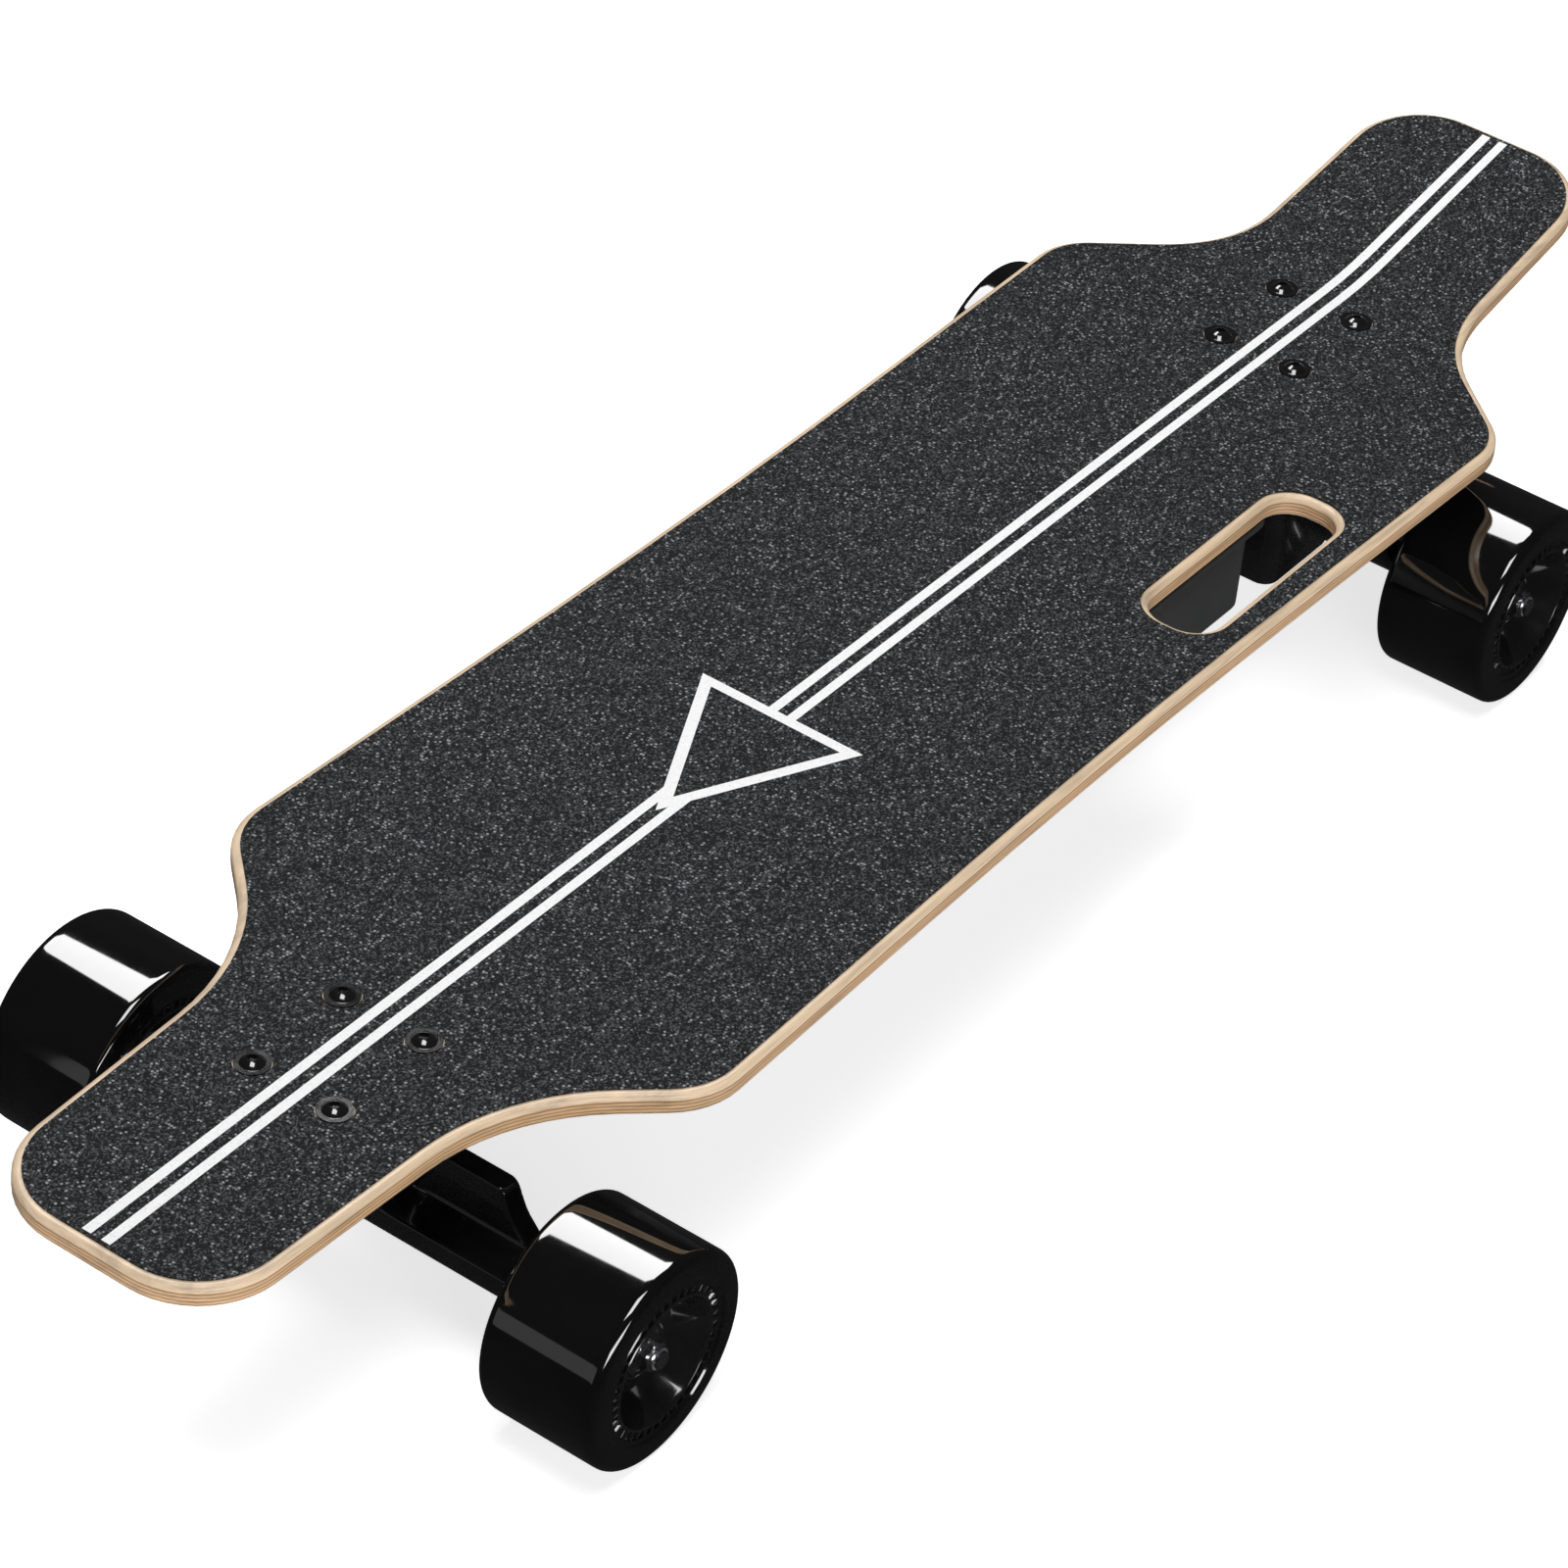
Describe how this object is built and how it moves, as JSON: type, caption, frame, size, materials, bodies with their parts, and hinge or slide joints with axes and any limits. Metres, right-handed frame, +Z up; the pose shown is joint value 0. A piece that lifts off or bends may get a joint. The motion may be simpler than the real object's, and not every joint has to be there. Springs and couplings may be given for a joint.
{
  "type": "electric skateboard",
  "caption": "Battery longboard: kicked maple deck with grip and carry slot, on reverse-kingpin trucks with black urethane wheels, a hub motor and an under-deck battery tray.",
  "frame": {"origin": "on the ground, under the middle of the board's overall length and width", "axes": "+X towards the nose, +Y towards the side with the carry slot, +Z up"},
  "size_m": [1.024, 0.312, 0.1475],
  "materials": {
    "maple": "clear-coated maple plies with a light top rim",
    "grip": "matte coarse grit",
    "graphic": "white print on the grit",
    "black_metal": "gloss black",
    "steel": "zinc plated",
    "black_steel": "black oxide, semi gloss",
    "riser": "matte black",
    "urethane": "satin",
    "tread": "gloss black urethane",
    "core": "gloss black",
    "bearing": "polished rings, dark shield",
    "tray": "satin dark grey",
    "gasket": "matte",
    "battery": "shrink wrap",
    "board": "solder mask",
    "aluminium": "machined",
    "magnet": "nickel plated",
    "stator": "laminations and enamelled copper",
    "button": "satin red",
    "port": "satin black"
  },
  "bodies": {
    "board": {"deck": "maple", "grip_tape": "grip", "grip_graphic": "graphic", "deck_bolts": "black_steel", "deck_bolt_washers": "black_steel", "deck_locknuts": "steel", "tray": "tray", "tray_gasket": "gasket", "tray_screws": "black_steel", "battery_pack": "battery", "controller_board": "board", "controller_heatsink": "aluminium", "charge_port": "port", "cap_hinge": "steel", "button_bezel": "aluminium", "cable_cover": "tray", "cable_gland": "port", "front_riser_pad": "riser", "front_baseplate": "black_metal", "front_pivot_cup": "urethane", "front_kingpin": "black_steel", "front_kingpin_nut": "black_steel", "front_board_bushing": "urethane", "front_road_bushing": "urethane", "front_cup_washers": "steel", "rear_riser_pad": "riser", "rear_baseplate": "black_metal", "rear_pivot_cup": "urethane", "rear_kingpin": "black_steel", "rear_kingpin_nut": "black_steel", "rear_board_bushing": "urethane", "rear_road_bushing": "urethane", "rear_cup_washers": "steel"},
    "front_hanger_body": {"front_hanger": "black_metal", "front_axle": "steel", "front_inner_races": "bearing", "front_spacers": "steel", "front_axle_nuts": "steel"},
    "rear_hanger_body": {"rear_hanger": "black_metal", "rear_axle": "steel", "rear_inner_races": "bearing", "rear_spacers": "steel", "rear_axle_nuts": "steel", "motor_stator": "stator"},
    "front_left_wheel": {"front_left_tyre": "tread", "front_left_core": "core", "front_left_bearings": "bearing"},
    "front_right_wheel": {"front_right_tyre": "tread", "front_right_core": "core", "front_right_bearings": "bearing"},
    "rear_left_wheel": {"rear_left_tyre": "tread", "rear_left_core": "core", "rear_left_bearings": "bearing"},
    "rear_right_wheel": {"motor_tyre": "tread", "motor_can": "black_metal", "motor_cover": "black_metal", "motor_magnets": "magnet", "motor_bearings": "bearing"},
    "power_button_body": {"power_button": "button"},
    "charge_cap_body": {"charge_cap": "gasket"}
  },
  "joints": [
    {"name": "front_steer", "type": "hinge", "parent": "board", "child": "front_hanger_body", "pos_m": [0.371, 0, 0.0765], "axis": [0.7431, 0, 0.6691], "range_deg": [-8, 8], "stiffness_Nm_per_rad": 80, "deforming": ["front_board_bushing", "front_road_bushing"]},
    {"name": "rear_steer", "type": "hinge", "parent": "board", "child": "rear_hanger_body", "pos_m": [-0.327, 0, 0.0765], "axis": [-0.7431, 0, 0.6691], "range_deg": [-8, 8], "stiffness_Nm_per_rad": 80, "deforming": ["rear_board_bushing", "rear_road_bushing"]},
    {"name": "front_left_wheel_spin", "type": "hinge", "parent": "front_hanger_body", "child": "front_left_wheel", "pos_m": [0.353, 0.128, 0.0485], "axis": [0, 1, 0], "continuous": true},
    {"name": "front_right_wheel_spin", "type": "hinge", "parent": "front_hanger_body", "child": "front_right_wheel", "pos_m": [0.353, -0.128, 0.0485], "axis": [0, 1, 0], "continuous": true},
    {"name": "rear_left_wheel_spin", "type": "hinge", "parent": "rear_hanger_body", "child": "rear_left_wheel", "pos_m": [-0.309, 0.128, 0.0485], "axis": [0, 1, 0], "continuous": true},
    {"name": "rear_right_wheel_spin", "type": "hinge", "parent": "rear_hanger_body", "child": "rear_right_wheel", "pos_m": [-0.309, -0.128, 0.0485], "axis": [0, 1, 0], "continuous": true},
    {"name": "power_button_press", "type": "slide", "parent": "board", "child": "power_button_body", "axis": [0, 1, 0], "range_m": [0, 0.0012], "stiffness_N_per_m": 800},
    {"name": "charge_cap_hinge", "type": "hinge", "parent": "board", "child": "charge_cap_body", "pos_m": [-0.06, -0.0651, 0.0973], "axis": [-1, 0, 0], "range_deg": [0, 110]}
  ]
}
